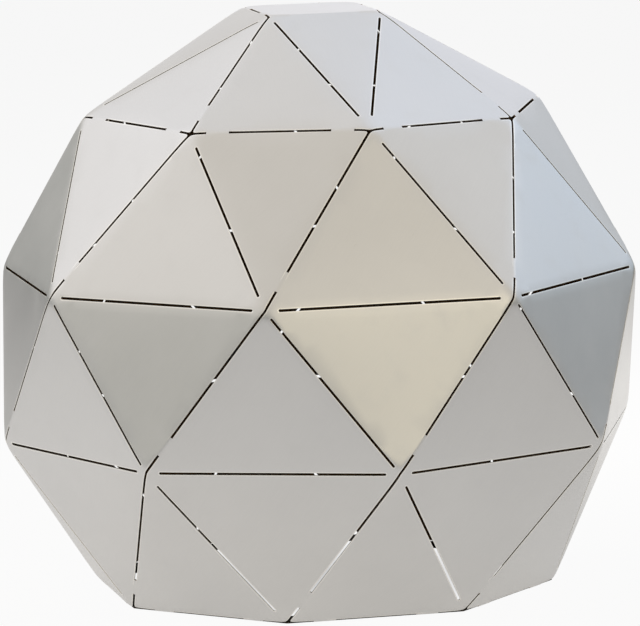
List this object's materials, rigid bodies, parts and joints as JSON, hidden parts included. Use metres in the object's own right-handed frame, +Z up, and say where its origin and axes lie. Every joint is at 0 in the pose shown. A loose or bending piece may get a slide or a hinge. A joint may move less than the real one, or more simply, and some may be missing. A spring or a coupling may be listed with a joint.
{
  "type": "dome climber",
  "caption": "Faceted closed-panel dome climber of folded stainless sheet: slotted fold lines, spiral body sheets, a flat square crown and an open flanged base.",
  "frame": {"origin": "centre of the base, on the ground", "axes": "+Z up; the front is -Y, where the middle of the front cap sheet points"},
  "size_m": [1.809, 1.809, 1.615],
  "materials": {
    "stainless_sheet": "satin rolled stainless sheet",
    "base_steel": "mill finish stainless plate"
  },
  "bodies": {
    "root": {"body_sheet_1": "stainless_sheet", "body_sheet_2": "stainless_sheet", "body_sheet_3": "stainless_sheet", "body_sheet_4": "stainless_sheet", "body_sheet_5": "stainless_sheet", "body_sheet_6": "stainless_sheet", "body_sheet_7": "stainless_sheet", "body_sheet_8": "stainless_sheet", "cap_sheet_front": "stainless_sheet", "cap_sheet_right": "stainless_sheet", "cap_sheet_back": "stainless_sheet", "cap_sheet_left": "stainless_sheet", "base_flange_1": "base_steel", "base_flange_2": "base_steel", "base_flange_3": "base_steel", "base_flange_4": "base_steel", "base_flange_5": "base_steel", "base_flange_6": "base_steel", "base_flange_7": "base_steel", "base_flange_8": "base_steel", "body_seam_bridges": "stainless_sheet", "shoulder_seam_bridges": "stainless_sheet", "cap_seam_bridges": "stainless_sheet", "crown_edge_bridges": "stainless_sheet", "foot_seam_bridges": "stainless_sheet", "body_seam_backings": "base_steel", "shoulder_seam_backings": "base_steel", "cap_seam_backings": "base_steel", "crown_edge_backings": "base_steel", "base_gussets": "base_steel"}
  },
  "joints": []
}
